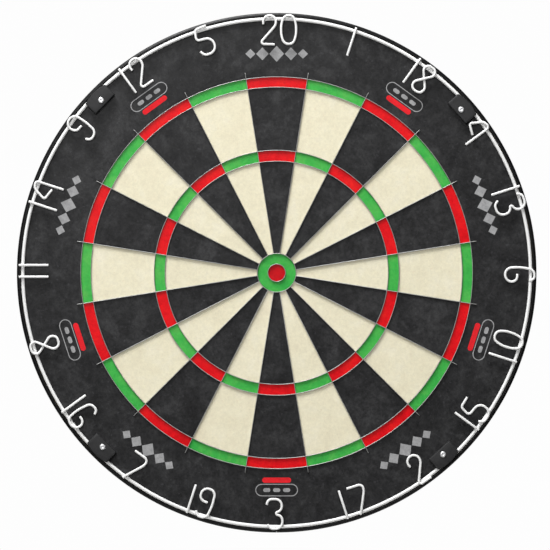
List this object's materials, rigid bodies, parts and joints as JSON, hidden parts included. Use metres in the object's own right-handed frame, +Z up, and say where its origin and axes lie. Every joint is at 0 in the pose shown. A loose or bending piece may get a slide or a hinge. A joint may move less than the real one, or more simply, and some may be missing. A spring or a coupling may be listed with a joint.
{
  "type": "bristle dartboard",
  "caption": "Round sisal steel-tip dartboard in a black steel band, with thin blade wires, a clipped wire number ring and the slotted wall bracket it hangs and turns on.",
  "frame": {"origin": "on the board's axis at the wall plane, which is also the centre of the wall screws", "axes": "+Z up, the playing face looks along -Y towards the player, +X to the player's right"},
  "size_m": [0.451, 0.0533, 0.451],
  "materials": {
    "bracket_steel": "semi-gloss black powder coat",
    "zinc_steel": "bright zinc plate",
    "chipboard": "bare sanded chipboard",
    "foot_rubber": "matte",
    "band_steel": "gloss black enamel",
    "natural_sisal": "compressed fibre, matte",
    "black_sisal": "dyed fibre, matte",
    "cream_sisal": "dyed fibre, matte",
    "red_sisal": "dyed fibre, matte",
    "green_sisal": "dyed fibre, matte",
    "blade_steel": "galvanised strip, satin",
    "white_wire": "gloss white coating",
    "clip_plastic": "moulded, satin",
    "pin_steel": "plain steel"
  },
  "bodies": {
    "wall_bracket": {"wall_bracket": "bracket_steel"},
    "hanger": {"hanger_bush": "zinc_steel"},
    "board": {"hanger_screw": "zinc_steel", "backing_board": "chipboard", "rear_feet": "foot_rubber", "foot_screws": "zinc_steel", "steel_band": "band_steel", "band_joint_strip": "band_steel", "band_rivets": "zinc_steel", "sisal_mat": "natural_sisal", "number_band": "black_sisal", "black_singles": "black_sisal", "cream_singles": "cream_sisal", "red_scoring_beds": "red_sisal", "green_scoring_beds": "green_sisal", "outer_bull_bed": "green_sisal", "bullseye_bed": "red_sisal", "radial_blades": "blade_steel", "double_outer_blade": "blade_steel", "double_inner_blade": "blade_steel", "treble_outer_blade": "blade_steel", "treble_inner_blade": "blade_steel", "outer_bull_blade": "blade_steel", "bullseye_blade": "blade_steel"},
    "number_ring": {"number_ring_wire": "white_wire", "numeral_20": "white_wire", "numeral_1": "white_wire", "numeral_18": "white_wire", "numeral_4": "white_wire", "numeral_13": "white_wire", "numeral_6": "white_wire", "numeral_10": "white_wire", "numeral_15": "white_wire", "numeral_2": "white_wire", "numeral_17": "white_wire", "numeral_3": "white_wire", "numeral_19": "white_wire", "numeral_7": "white_wire", "numeral_16": "white_wire", "numeral_8": "white_wire", "numeral_11": "white_wire", "numeral_14": "white_wire", "numeral_9": "white_wire", "numeral_12": "white_wire", "numeral_5": "white_wire"},
    "clip_1": {"clip_1": "clip_plastic", "clip_pin_1": "pin_steel"},
    "clip_2": {"clip_2": "clip_plastic", "clip_pin_2": "pin_steel"},
    "clip_3": {"clip_3": "clip_plastic", "clip_pin_3": "pin_steel"},
    "clip_4": {"clip_4": "clip_plastic", "clip_pin_4": "pin_steel"}
  },
  "joints": [
    {"name": "board_lift", "type": "slide", "parent": "wall_bracket", "child": "hanger", "axis": [0, 0, 1], "range_m": [0, 0.04]},
    {"name": "board_turn", "type": "hinge", "parent": "hanger", "child": "board", "pos_m": [0, 0, 0], "axis": [0, -1, 0], "continuous": true},
    {"name": "ring_lift", "type": "slide", "parent": "board", "child": "number_ring", "axis": [0, -1, 0], "range_m": [0, 0.03]},
    {"name": "clip_1_pull", "type": "slide", "parent": "number_ring", "child": "clip_1", "axis": [0, -1, 0], "range_m": [0, 0.02]},
    {"name": "clip_2_pull", "type": "slide", "parent": "number_ring", "child": "clip_2", "axis": [0, -1, 0], "range_m": [0, 0.02]},
    {"name": "clip_3_pull", "type": "slide", "parent": "number_ring", "child": "clip_3", "axis": [0, -1, 0], "range_m": [0, 0.02]},
    {"name": "clip_4_pull", "type": "slide", "parent": "number_ring", "child": "clip_4", "axis": [0, -1, 0], "range_m": [0, 0.02]}
  ]
}
